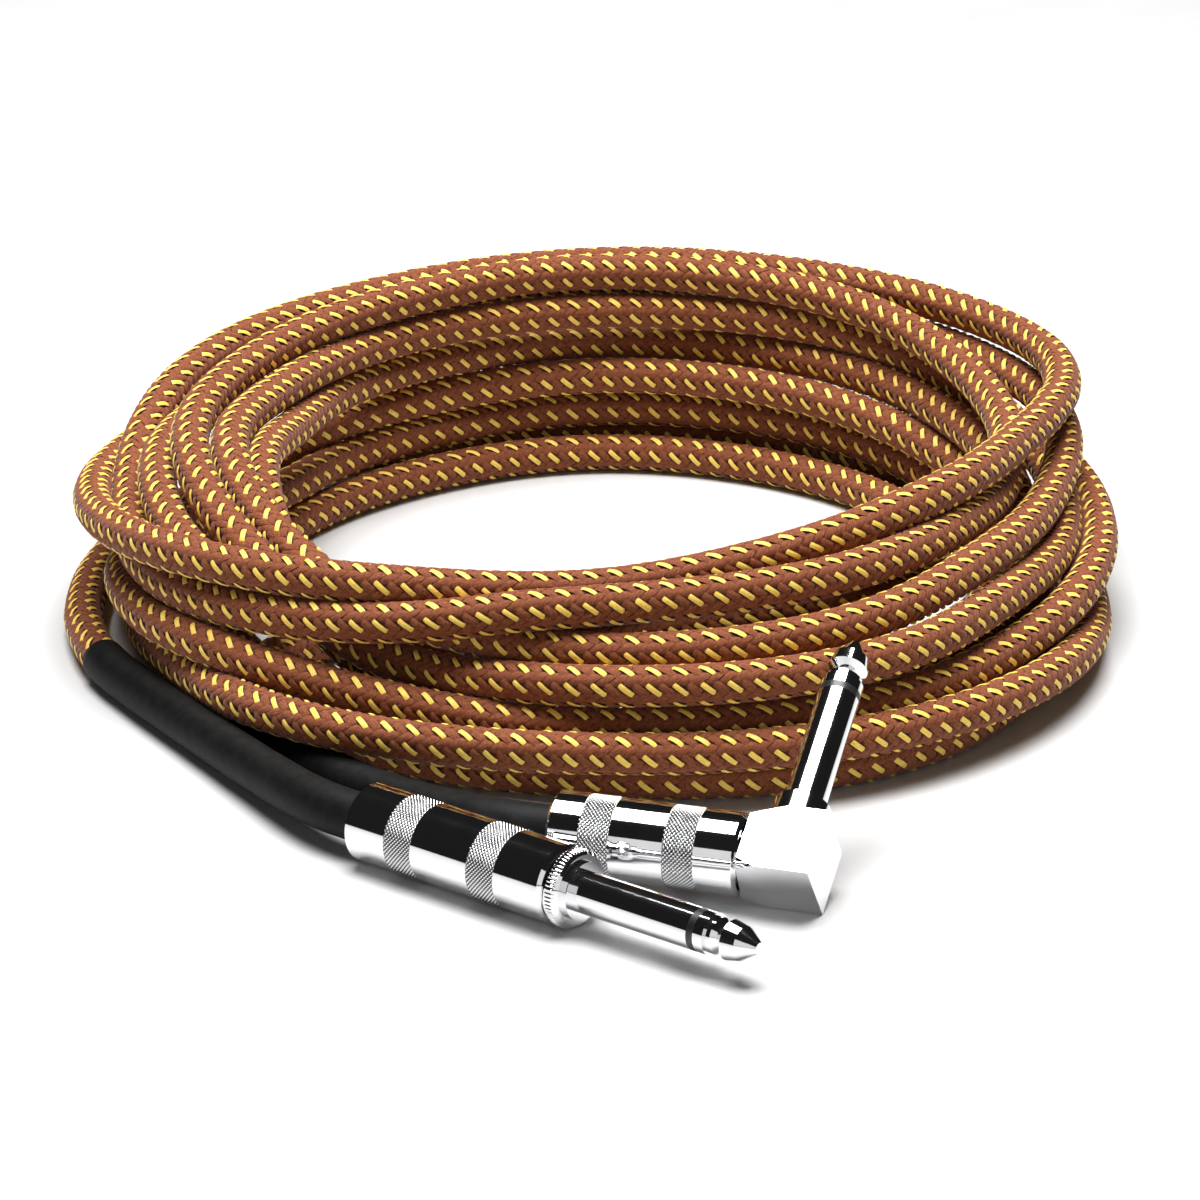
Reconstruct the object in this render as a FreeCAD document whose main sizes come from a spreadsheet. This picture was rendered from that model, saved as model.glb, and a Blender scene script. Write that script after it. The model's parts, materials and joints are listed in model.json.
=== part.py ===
import FreeCAD, Part
import Sketcher
import math
import os

# Instrument cable: a braided cable coiled on a flat surface, with a straight 1/4 inch plug on one
# end and a right-angle 1/4 inch plug on the other. Millimetres. The origin is the middle of the
# coil on the surface it rests on: +X right, +Y to the back of the coil, +Z up.

Vector = FreeCAD.Vector

SIZES = {
    "cable_radius": 3.3,
    "relief_radius": 3.7,
    "relief_length": 88.0,
    "relief_inside": 5.0,
    "tunnel_radius": 4.0,
    # stripped end of the cable inside a plug, counted from the barrel's rear face
    "jacket_end": 9.0,
    "core_radius": 1.5,
    "core_length": 6.0,
    "conductor_radius": 0.5,
    "pigtail_radius": 0.7,
    "pigtail_height": 3.05,
    "pigtail_length": 7.0,
    # the contacts of both plugs
    "shaft_radius": 3.175,
    "collar_radius": 4.4,
    "plug_reach": 31.75,
    "tip_length": 9.6,
    "tip_land": 1.7,
    "tip_step_radius": 2.75,
    "tip_step_at": 2.7,
    "tip_waist_radius": 1.8,
    "tip_waist_at": 3.7,
    "tip_flare_radius": 3.05,
    "tip_flare_at": 4.7,
    "tip_shoulder_radius": 2.6,
    "tip_shoulder_at": 6.9,
    "tip_point_radius": 0.9,
    "ring_length": 1.2,
    "rod_radius": 1.2,
    "insulator_radius": 2.2,
    "tail_length": 5.0,
    "tail_radius": 3.6,
    "lug_plate": 0.4,
    "lug_disc_radius": 2.4,
    "lug_width": 2.6,
    "tang_width": 2.8,
    "tang_height": 3.75,
    "tang_start": 10.0,
    "washer_radius": 4.4,
    "washer_bore_radius": 3.0,
    "solder_foot_radius": 1.15,
    "solder_top_radius": 0.85,
    "solder_cover": 0.3,
    "solder_gap": 0.05,
    # straight plug
    "straight_barrel_length": 38.0,
    "straight_barrel_radius": 6.0,
    "straight_bore_radius": 5.1,
    "straight_band_one": 8.1,
    "straight_band_two": 24.1,
    "straight_band_width": 5.2,
    "straight_collar_length": 0.8,
    "straight_rod_tail": 12.0,
    "straight_lug_length": 8.0,
    "straight_wire_length": 13.0,
    "flange_gap": 0.8,
    "flange_length": 2.2,
    "flange_radius": 5.9,
    "flange_chamfer": 0.6,
    "spigot_length": 6.0,
    "spigot_radius": 4.8,
    # right-angle plug
    "angle_barrel_length": 29.2,
    "angle_barrel_radius": 6.2,
    "angle_bore_radius": 5.2,
    "angle_band_one": 5.05,
    "angle_band_two": 18.1,
    "angle_band_width": 4.8,
    "angle_collar_length": 3.5,
    "angle_rod_tail": 5.8,
    "angle_lug_length": 11.0,
    "angle_wire_length": 18.5,
    "head_gap": 0.3,
    "head_to_corner": 5.85,
    "head_top": 6.3,
    "head_bottom": 5.3,
    "head_half_width": 4.9,
    "head_front_length": 11.0,
    "head_back_length": 12.1,
    "head_round_radius": 6.35,
    "head_flare_radius": 10.2,
    "head_flare_length": 12.8,
    # barrels of both plugs
    "back_wall": 1.5,
    "back_hole_radius": 4.2,
    "band_depth": 0.2,
    "rim_chamfer": 0.5,
    "liner_radius": 4.95,
    "liner_bore_radius": 4.6,
    "liner_start": 2.0,
    "liner_clear_front": 7.5,
    # the coil's outer shape in eight directions: inner radius, outer radius and height
    "coil_right_inner": 58.0, "coil_right_outer": 89.0, "coil_right_top": 34.0,
    "coil_back_right_inner": 68.0, "coil_back_right_outer": 95.0, "coil_back_right_top": 38.0,
    "coil_back_inner": 77.0, "coil_back_outer": 96.5, "coil_back_top": 41.0,
    "coil_back_left_inner": 67.0, "coil_back_left_outer": 95.0, "coil_back_left_top": 40.0,
    "coil_left_inner": 54.0, "coil_left_outer": 90.5, "coil_left_top": 36.0,
    "coil_front_left_inner": 57.0, "coil_front_left_outer": 90.0, "coil_front_left_top": 34.0,
    "coil_front_inner": 60.0, "coil_front_outer": 86.5, "coil_front_top": 34.0,
    "coil_front_right_inner": 59.0, "coil_front_right_outer": 89.0, "coil_front_right_top": 34.0,
    "coil_edge": 7.0,
}

DIRECTIONS = ["right", "back_right", "back", "back_left", "left", "front_left", "front", "front_right"]
COIL_SECTIONS = 32

# Where each plug lies: the middle of its barrel's rear face, the heading of its barrel, and how far
# the right-angle plug's shaft is tipped up from lying flat.
STRAIGHT_REAR = Vector(-34.4, -101.7, 6.0)
STRAIGHT_HEADING = -39.5
ANGLE_REAR = Vector(-6.4, -107.8, 6.95)
ANGLE_HEADING = -18.5
ANGLE_TIP_UP = 30.0

# How far the cable runs straight out of a barrel, so that the barrel can slide back over it.
STRAIGHT_OUT = 10.5

# The uncoiled cable from each plug to the coil, after that straight stretch.
STRAIGHT_ROUTE = [
    Vector(-51.5, -79.5, 4.7),
    Vector(-62.5, -60.5, 4.0),
    Vector(-72.5, -44.0, 3.8),
    Vector(-81.5, -28.0, 3.6),
    Vector(-86.0, -11.0, 3.4),
]
ANGLE_ROUTE = [
    Vector(-29.5, -91.0, 4.3),
    Vector(-42.0, -77.5, 3.8),
    Vector(-53.0, -60.5, 3.7),
    Vector(-58.5, -41.0, 3.7),
    Vector(-53.0, -22.0, 3.5),
    Vector(-36.0, -13.5, 3.4),
    Vector(-17.5, -16.5, 3.4),
    Vector(0.0, -26.5, 3.4),
    Vector(17.0, -37.5, 3.4),
    Vector(35.0, -45.0, 3.4),
    Vector(52.0, -43.5, 3.4),
]
ARC_SHARE = 0.45

doc = FreeCAD.newDocument("instrument_cable")
sheet = doc.addObject("Spreadsheet::Sheet", "Sizes")
for row, (alias, value) in enumerate(SIZES.items(), start=1):
    sheet.set(f"A{row}", alias)
    sheet.set(f"B{row}", str(value))
    sheet.setAlias(f"B{row}", alias)
doc.recompute()

pieces = []


def size(alias):
    """One driving dimension, read from the sheet."""
    return float(getattr(sheet, alias))


def amount(terms):
    """The value of a sum of aliases written 'length gap -wall'."""
    total = 0.0
    for term in terms.split():
        total += -size(term[1:]) if term.startswith("-") else size(term)
    return total


def formula(terms):
    """The same sum as an expression on the sheet."""
    text = ""
    for term in terms.split():
        sign = "-" if term.startswith("-") else "+"
        text += f" {sign} Sizes.{term.lstrip('-')}"
    return text.removeprefix(" + ")


def keep(piece, label):
    """Give a sub-part its own name and list it for writing."""
    piece.Label = label
    pieces.append(piece)
    return piece


def origin_plane(body, role):
    """One of a body's own origin planes."""
    return next(item for item in body.Origin.OriginFeatures if item.Role == role)


def outline_sketch(body, name, corners):
    """A closed outline through corners given as pairs of sums of aliases; '' is on the axis."""
    sketch = body.newObject("Sketcher::SketchObject", name)
    sketch.AttachmentSupport = [(origin_plane(body, "XY_Plane"), "")]
    sketch.MapMode = "FlatFace"
    spots = [Vector(amount(along), amount(out), 0) for along, out in corners]
    count = len(spots)
    for index in range(count):
        sketch.addGeometry(Part.LineSegment(spots[index], spots[(index + 1) % count]), False)
    for index in range(count):
        sketch.addConstraint(Sketcher.Constraint("Coincident", index, 2, (index + 1) % count, 1))
    for index, (along, out) in enumerate(corners):
        pin_corner(sketch, index, "DistanceX", along, -2)
        pin_corner(sketch, index, "DistanceY", out, -1)
    return sketch


def pin_corner(sketch, index, kind, terms, axis):
    """Hold one corner at a distance from the origin that the sheet drives."""
    if not terms:
        sketch.addConstraint(Sketcher.Constraint("PointOnObject", index, 1, axis))
        return
    place = sketch.addConstraint(Sketcher.Constraint(kind, -1, 1, index, 1, amount(terms)))
    sketch.setExpression(f"Constraints[{place}]", formula(terms))


def turned(label, corners, placement):
    """A piece turned about its own X axis."""
    body = doc.addObject("PartDesign::Body", label)
    sketch = outline_sketch(body, f"{label}_outline", corners)
    turn = body.newObject("PartDesign::Revolution", f"{label}_turn")
    turn.Profile = sketch
    turn.ReferenceAxis = (sketch, ["H_Axis"])
    turn.Angle = 360.0
    body.Placement = placement
    return keep(body, label)


def rod(name, start, length, radius, placement, across="", up=""):
    """A Part cylinder along the plug's own X axis; start, length, radius and offsets are sums."""
    shape = doc.addObject("Part::Cylinder", name)
    shape.setExpression("Radius", formula(radius))
    shape.setExpression("Height", formula(length))
    local = FreeCAD.Placement(Vector(amount(start), amount(across), amount(up)),
                              FreeCAD.Rotation(Vector(0, 1, 0), 90))
    shape.Placement = placement.multiply(local)
    return shape


def block(name, start, length, width, height, placement, up):
    """A Part box along the plug's own X axis, centred across it, with its underside at up."""
    shape = doc.addObject("Part::Box", name)
    shape.setExpression("Length", formula(length))
    shape.setExpression("Width", formula(width))
    shape.setExpression("Height", formula(height))
    corner = Vector(amount(start), -amount(width) / 2, amount(up))
    shape.Placement = placement.multiply(FreeCAD.Placement(corner, FreeCAD.Rotation()))
    return shape


def joined(name, shapes):
    """One solid of several shapes."""
    fuse = doc.addObject("Part::MultiFuse", name)
    fuse.Shapes = shapes
    return fuse


def without(name, base, tools):
    """A shape with others cut out of it."""
    for number, tool in enumerate(tools):
        cut = doc.addObject("Part::Cut", f"{name}_less_{number}")
        cut.Base = base
        cut.Tool = tool
        base = cut
    return base


def place(position, heading, tip_up=0.0):
    """A placement whose X axis has a heading in the XY plane, then turned about that axis."""
    spin = FreeCAD.Rotation(Vector(0, 0, 1), heading)
    tip = FreeCAD.Rotation(Vector(1, 0, 0), tip_up)
    return FreeCAD.Placement(position, spin.multiply(tip))


def moved(placement, offset, rotation=FreeCAD.Rotation()):
    """A placement shifted and turned within its own frame."""
    return placement.multiply(FreeCAD.Placement(offset, rotation))


# ---------------------------------------------------------------- contacts


def contacts(kind, tail_placement):
    """Tip contact, insulators and sleeve contact; the frame's origin is the rod's rear end."""
    seat = f"{kind}_rod_tail"
    face = f"{seat} {kind}_collar_length"
    ring = f"{face} plug_reach -tip_length -ring_length"
    tip = f"{ring} ring_length"
    turned(f"{kind}_sleeve_contact", [
        (f"{seat} -tail_length", "insulator_radius"),
        (ring, "insulator_radius"),
        (ring, "shaft_radius"),
        (face, "shaft_radius"),
        (face, "collar_radius"),
        (seat, "collar_radius"),
        (seat, "tail_radius"),
        (f"{seat} -tail_length", "tail_radius"),
    ], tail_placement)
    turned(f"{kind}_tip_insulator", [
        (f"{seat} -tail_length", "rod_radius"),
        (tip, "rod_radius"),
        (tip, "shaft_radius"),
        (ring, "shaft_radius"),
        (ring, "insulator_radius"),
        (f"{seat} -tail_length", "insulator_radius"),
    ], tail_placement)
    turned(f"{kind}_tip_contact", [
        ("", ""),
        (f"{tip} tip_length", ""),
        (f"{tip} tip_length", "tip_point_radius"),
        (f"{tip} tip_shoulder_at", "tip_shoulder_radius"),
        (f"{tip} tip_flare_at", "tip_flare_radius"),
        (f"{tip} tip_waist_at", "tip_waist_radius"),
        (f"{tip} tip_step_at", "tip_step_radius"),
        (f"{tip} tip_land", "tip_step_radius"),
        (f"{tip} tip_land", "shaft_radius"),
        (tip, "shaft_radius"),
        (tip, "rod_radius"),
        ("", "rod_radius"),
    ], tail_placement)


def rear_insulator(kind, start, tail_placement):
    """The washer behind the sleeve contact's tail."""
    seat = f"{kind}_rod_tail -tail_length"
    turned(f"{kind}_rear_insulator", [
        (start, "rod_radius"),
        (seat, "rod_radius"),
        (seat, "tail_radius"),
        (start, "tail_radius"),
    ], tail_placement)


# ---------------------------------------------------------------- barrels


def barrel(kind, placement):
    """A turned barrel with two sunk bands for its knurling and a hole for the cable."""
    length = f"{kind}_barrel_length"
    radius = f"{kind}_barrel_radius"
    bore = f"{kind}_bore_radius"
    corners = [
        ("", "back_hole_radius"),
        ("back_wall", "back_hole_radius"),
        ("back_wall", bore),
        (length, bore),
        (length, f"{radius} -rim_chamfer"),
        (f"{length} -rim_chamfer", radius),
    ]
    for band in ("two", "one"):
        start = f"{kind}_band_{band}"
        end = f"{start} {kind}_band_width"
        corners += [
            (end, radius),
            (end, f"{radius} -band_depth"),
            (start, f"{radius} -band_depth"),
            (start, radius),
        ]
    corners += [("rim_chamfer", radius), ("", f"{radius} -rim_chamfer")]
    turned(f"{kind}_barrel", corners, placement)
    turned(f"{kind}_liner", [
        ("liner_start", "liner_bore_radius"),
        (f"{length} -liner_clear_front", "liner_bore_radius"),
        (f"{length} -liner_clear_front", "liner_radius"),
        ("liner_start", "liner_radius"),
    ], placement)


# ---------------------------------------------------------------- wiring


def wiring(kind, placement, lug_end):
    """The stripped cable end and its two solder joints; the terminals lie below and above it."""
    core_end = "jacket_end core_length"
    keep(rod(f"{kind}_core", "jacket_end", "core_length", "core_radius", placement),
         f"{kind}_core_insulation")
    keep(rod(f"{kind}_wire", core_end, f"{kind}_wire_length", "conductor_radius", placement),
         f"{kind}_core_conductor")
    keep(rod(f"{kind}_pigtail", "jacket_end", "pigtail_length", "pigtail_radius", placement,
             up="pigtail_height"), f"{kind}_shield_pigtail")
    lug_start = f"{lug_end} -{kind}_lug_length"
    solder(f"{kind}_tip_solder", f"{lug_start} solder_foot_radius", "", "conductor_radius",
           "-conductor_radius solder_gap", 0, placement)
    solder(f"{kind}_ground_solder", f"{core_end} -solder_foot_radius", "pigtail_height",
           "pigtail_radius", "tang_height -solder_gap", 180, placement)


def solder(label, spot, up, wire_radius, foot, turn, placement):
    """A cone of solder over a wire, standing on the strip that the wire lies on."""
    cone = doc.addObject("Part::Cone", f"{label}_cone")
    cone.setExpression("Radius1", formula("solder_foot_radius"))
    cone.setExpression("Radius2", formula("solder_top_radius"))
    cone.setExpression("Height", formula(f"{wire_radius} {wire_radius} solder_cover -solder_gap"))
    cone.Placement = moved(placement, Vector(amount(spot), 0, amount(foot)),
                           FreeCAD.Rotation(Vector(1, 0, 0), turn))
    start = f"{spot} -collar_radius"
    wire = rod(f"{label}_wire", start, "collar_radius collar_radius", wire_radius, placement, up=up)
    keep(without(label, cone, [wire]), label)


def terminals(kind, placement, lug_end, lug_disc, contact_rod, back):
    """The tip's lug, which ends in a disc on the contact rod, and the ground's washer and tang."""
    strip = block(f"{kind}_lug_strip", f"{lug_end} -{kind}_lug_length", f"{kind}_lug_length",
                  "lug_width", "lug_plate", placement, "-conductor_radius -lug_plate")
    lug = joined(f"{kind}_lug", [lug_disc, strip])
    keep(without(f"{kind}_lug", lug, [contact_rod]), f"{kind}_tip_terminal")
    washer = rod(f"{kind}_washer", f"{back} -lug_plate", "lug_plate", "washer_radius", placement)
    bore = rod(f"{kind}_washer_bore", f"{back} -lug_plate", "lug_plate", "washer_bore_radius",
               placement)
    tang = block(f"{kind}_tang", "tang_start", f"{back} -tang_start", "tang_width", "lug_plate",
                 placement, "tang_height")
    ring = without(f"{kind}_washer", washer, [bore])
    keep(joined(f"{kind}_ground", [ring, tang]), f"{kind}_ground_terminal")


# ---------------------------------------------------------------- cable


def route_edges(points):
    """Straight runs joined by tangent arcs, each arc as large as its two runs allow."""
    edges = []
    start = points[0]
    for before, corner, after in zip(points, points[1:], points[2:]):
        into = (corner - before).normalize()
        out = (after - corner).normalize()
        half_turn = into.getAngle(out) / 2
        reach = ARC_SHARE * min(corner.distanceToPoint(before), corner.distanceToPoint(after))
        radius = reach / math.tan(half_turn)
        bend_start = corner - into * reach
        bend_end = corner + out * reach
        inward = (out - into).normalize()
        to_centre = radius / math.cos(half_turn)
        bend_middle = corner + inward * (to_centre - radius)
        print(f"  arc radius {radius:.1f} mm, turn {math.degrees(2 * half_turn):.1f} degrees")
        edges.append(Part.LineSegment(start, bend_start).toShape())
        edges.append(Part.Arc(bend_start, bend_middle, bend_end).toShape())
        start = bend_end
    edges.append(Part.LineSegment(start, points[-1]).toShape())
    return edges


def first_length(edges, length):
    """The edges up to a length along them."""
    kept = []
    for edge in edges:
        if edge.Length >= length:
            end = edge.getParameterByLength(length)
            kept.append(edge.Curve.toShape(edge.FirstParameter, end))
            return kept
        kept.append(edge)
        length -= edge.Length
    return kept


def tube(name, edges, radius):
    """A round solid swept along a wire of lines and arcs."""
    spine = doc.addObject("Part::Feature", f"{name}_line")
    spine.Shape = Part.Wire(edges)
    section = doc.addObject("Part::Circle", f"{name}_section")
    section.setExpression("Radius", formula(radius))
    first = edges[0]
    along = first.tangentAt(first.FirstParameter)
    section.Placement = FreeCAD.Placement(first.valueAt(first.FirstParameter),
                                          FreeCAD.Rotation(Vector(0, 0, 1), along))
    sweep = doc.addObject("Part::Sweep", f"{name}_sweep")
    sweep.Sections = [section]
    sweep.Spine = (spine, [f"Edge{number + 1}" for number in range(len(edges))])
    sweep.Solid = True
    doc.recompute()
    expected = math.pi * amount(radius) ** 2 * sum(edge.Length for edge in edges)
    print(f"{name}: {sum(edge.Length for edge in edges):.1f} mm long, "
          f"volume {sweep.Shape.Volume:.0f} of {expected:.0f} mm3")
    if abs(sweep.Shape.Volume / expected - 1) > 0.01:
        raise RuntimeError(f"{name} has the wrong volume")
    return sweep


def cable_lead(kind, placement, route):
    """The uncoiled cable at one plug, and the shrunk sleeve over its first stretch."""
    start = placement.multVec(Vector(size("jacket_end"), 0, 0))
    out = placement.multVec(Vector(-STRAIGHT_OUT, 0, 0))
    print(f"{kind} lead")
    edges = route_edges([start, out] + route)
    lead = tube(f"{kind}_lead", edges, "cable_radius")
    keep(lead, f"{kind}_cable_lead")
    shrunk = first_length(edges, amount("jacket_end relief_length"))
    outer = tube(f"{kind}_relief", shrunk, "relief_radius")
    inner = tube(f"{kind}_relief_bore", shrunk, "cable_radius")
    bare = rod(f"{kind}_relief_bare", "relief_inside", "jacket_end", "collar_radius", placement)
    keep(without(f"{kind}_strain_relief", outer, [inner, bare]), f"{kind}_strain_relief")
    return tube(f"{kind}_tunnel", edges, "tunnel_radius")


def coil_section(turn):
    """The coil's cross-section at an angle, blended between its neighbouring directions."""
    spot = turn / (2 * math.pi) * len(DIRECTIONS)
    low = int(spot) % len(DIRECTIONS)
    high = (low + 1) % len(DIRECTIONS)
    share = (1 - math.cos((spot - int(spot)) * math.pi)) / 2
    inner, outer, top = (
        size(f"coil_{DIRECTIONS[low]}_{name}") * (1 - share)
        + size(f"coil_{DIRECTIONS[high]}_{name}") * share
        for name in ("inner", "outer", "top"))
    edge = size("coil_edge")
    corners = [
        (inner, 0), (outer, 0), (outer, top - edge),
        (outer - edge, top), (inner + edge, top), (inner, top - edge),
    ]
    return [Vector(reach * math.cos(turn), reach * math.sin(turn), up) for reach, up in corners]


def coil_shape():
    """A closed ring of flat triangles through the coil's cross-sections."""
    rings = [coil_section(2 * math.pi * step / COIL_SECTIONS) for step in range(COIL_SECTIONS)]
    faces = []
    for step in range(COIL_SECTIONS):
        here = rings[step]
        there = rings[(step + 1) % COIL_SECTIONS]
        for corner in range(len(here)):
            following = (corner + 1) % len(here)
            for triangle in ((here[corner], here[following], there[following]),
                             (here[corner], there[following], there[corner])):
                faces.append(Part.Face(Part.makePolygon(list(triangle) + [triangle[0]])))
    solid = Part.makeSolid(Part.makeShell(faces))
    return solid if solid.Volume > 0 else solid.reversed()


def straight_plug(placement):
    """The straight plug's pieces."""
    flange = "straight_barrel_length flange_gap"
    front = f"{flange} flange_length"
    back = f"{flange} -spigot_length"
    tail = moved(placement, Vector(amount(f"{front} -straight_rod_tail"), 0, 0))
    contacts("straight", tail)
    rear_insulator("straight", "straight_rod_tail -flange_length -spigot_length", tail)
    turned("straight_threaded_body", [
        (back, "tail_radius"),
        (front, "tail_radius"),
        (front, "flange_radius -flange_chamfer"),
        (f"{front} -flange_chamfer", "flange_radius"),
        (flange, "flange_radius"),
        (flange, "spigot_radius"),
        (back, "spigot_radius"),
    ], placement)
    barrel("straight", placement)
    disc = rod("straight_lug_disc", f"{back} -lug_plate", "lug_plate", "lug_disc_radius", placement)
    shaft = rod("straight_lug_hole", f"{back} -straight_lug_length straight_rod_tail -flange_length"
                " -spigot_length", "straight_lug_length", "rod_radius", placement)
    terminals("straight", placement, back, disc, shaft, back)
    wiring("straight", placement, back)


def angle_plug(placement):
    """The right-angle plug's pieces; its shaft leaves along the placement's own +Y."""
    start = "angle_barrel_length head_gap"
    corner = f"{start} head_to_corner"
    back = f"{start} -spigot_length"
    quarter = FreeCAD.Rotation(Vector(0, 0, 1), 90)
    elbow = moved(placement, Vector(amount(corner), 0, 0), quarter)
    tail = moved(elbow, Vector(amount("head_top -angle_rod_tail"), 0, 0))
    contacts("angle", tail)
    rear_insulator("angle", "lug_plate", tail)
    angle_head(placement, elbow, start, back)
    barrel("angle", placement)
    wires = moved(placement, Vector(0, 0, 0), FreeCAD.Rotation(Vector(1, 0, 0), 90))
    disc = rod("angle_lug_disc", "", "lug_plate", "lug_disc_radius", tail)
    shaft = rod("angle_lug_hole", "", "head_top", "rod_radius", tail)
    terminals("angle", wires, corner, disc, shaft, back)
    wiring("angle", wires, corner)


def angle_head(placement, elbow, start, back):
    """A flat-sided block whose end towards the barrel is turned to a cone, hollow, with a spigot."""
    block_shape = doc.addObject("Part::Wedge", "head_block")
    for side, terms in {
        "Xmin": "", "X2min": "", "Xmax": "head_back_length", "X2max": "head_front_length",
        "Ymin": "-head_half_width", "Ymax": "head_half_width",
        "Zmin": "-head_top", "Z2min": "-head_top", "Zmax": "head_bottom", "Z2max": "head_bottom",
    }.items():
        if terms:
            block_shape.setExpression(side, formula(terms))
        else:
            setattr(block_shape, side, 0)
    block_shape.Placement = moved(placement, Vector(amount(start), 0, 0),
                                  FreeCAD.Rotation(Vector(1, 0, 0), 90))
    cone = doc.addObject("Part::Cone", "head_cone")
    cone.setExpression("Radius1", formula("head_round_radius"))
    cone.setExpression("Radius2", formula("head_flare_radius"))
    cone.setExpression("Height", formula("head_flare_length"))
    cone.Placement = moved(placement, Vector(amount(start), 0, 0),
                           FreeCAD.Rotation(Vector(0, 1, 0), 90))
    rounded = doc.addObject("Part::Common", "head_rounded")
    rounded.Base = block_shape
    rounded.Tool = cone
    spigot = rod("head_spigot", back, "spigot_length", "spigot_radius", placement)
    cavity = rod("head_cavity", back, "spigot_length head_to_corner", "tail_radius", placement)
    shaft_bore = rod("head_shaft_bore", "", "head_top", "tail_radius", elbow)
    keep(without("head", joined("head_outside", [rounded, spigot]), [cavity, shaft_bore]), "angle_head")


def check_pieces():
    """Every object has been computed, and every sub-part is one valid solid."""
    for item in doc.Objects:
        if "Invalid" in item.State or "Error" in item.State:
            raise RuntimeError(f"{item.Name} failed: {item.State}")
    for piece in pieces:
        shape = piece.Shape
        if shape.isNull() or not shape.isValid() or len(shape.Solids) != 1:
            raise RuntimeError(f"{piece.Label}: {len(shape.Solids)} solids, valid {shape.isValid()}")


straight_plug(place(STRAIGHT_REAR, STRAIGHT_HEADING))
angle_plug(place(ANGLE_REAR, ANGLE_HEADING, ANGLE_TIP_UP))
tunnels = [
    cable_lead("straight", place(STRAIGHT_REAR, STRAIGHT_HEADING), STRAIGHT_ROUTE),
    cable_lead("angle", place(ANGLE_REAR, ANGLE_HEADING), ANGLE_ROUTE),
]
ring = doc.addObject("Part::Feature", "coil_ring")
ring.Shape = coil_shape()
keep(without("coil", ring, tunnels), "cable_coil")
doc.recompute()
check_pieces()
os.makedirs("parts", exist_ok=True)
for piece in pieces:
    piece.Shape.exportStep(f"parts/{piece.Label}.step")
    print(f"{piece.Label}: {piece.Shape.Volume:.1f} mm3")
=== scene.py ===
import json
import math

import bpy
import numpy as np
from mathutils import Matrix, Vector


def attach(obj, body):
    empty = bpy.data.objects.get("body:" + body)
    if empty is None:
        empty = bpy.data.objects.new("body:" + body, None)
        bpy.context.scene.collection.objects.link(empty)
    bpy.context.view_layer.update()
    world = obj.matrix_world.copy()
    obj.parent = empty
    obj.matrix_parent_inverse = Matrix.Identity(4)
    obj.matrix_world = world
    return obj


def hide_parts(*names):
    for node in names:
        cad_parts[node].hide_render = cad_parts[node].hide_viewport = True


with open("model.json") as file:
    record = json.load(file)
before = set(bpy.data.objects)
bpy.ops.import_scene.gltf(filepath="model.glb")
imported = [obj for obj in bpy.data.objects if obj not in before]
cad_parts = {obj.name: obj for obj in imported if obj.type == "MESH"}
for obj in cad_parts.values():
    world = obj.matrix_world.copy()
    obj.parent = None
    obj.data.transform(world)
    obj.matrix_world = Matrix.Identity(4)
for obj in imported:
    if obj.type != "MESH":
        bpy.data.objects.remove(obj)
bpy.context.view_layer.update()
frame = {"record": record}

MM = 0.001
CABLE_BODY = "cable_body"

# ---------------------------------------------------------------- cable: sizes and route

CABLE_DIAMETER = 6.6 * MM
SLEEVE_RADIUS = 3.7 * MM
SLEEVE_LENGTH = 88 * MM
JACKET_END = 9 * MM          # how far the cable goes into a barrel
SLEEVE_INSIDE = 5 * MM       # how far its sleeve does
STRAIGHT_OUT = 10.5 * MM     # how far it leaves a barrel before it bends
FLOOR_HEIGHT = 3.3           # mm from the floor to the middle of a turn that lies on it

# The uncoiled cable beside each plug, from the plug to the coil, in metres.
STRAIGHT_ROUTE = [
    (-0.0515, -0.0795, 0.0047),
    (-0.0625, -0.0605, 0.0040),
    (-0.0725, -0.0440, 0.0038),
    (-0.0815, -0.0280, 0.0036),
    (-0.0860, -0.0110, 0.0034),
]
ANGLE_ROUTE = [
    (-0.0295, -0.0910, 0.0043),
    (-0.0420, -0.0775, 0.0038),
    (-0.0530, -0.0605, 0.0037),
    (-0.0585, -0.0410, 0.0037),
    (-0.0530, -0.0220, 0.0035),
    (-0.0360, -0.0135, 0.0034),
    (-0.0175, -0.0165, 0.0034),
    (0.0000, -0.0265, 0.0034),
    (0.0170, -0.0375, 0.0034),
    (0.0350, -0.0450, 0.0034),
    (0.0520, -0.0435, 0.0034),
]

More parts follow.
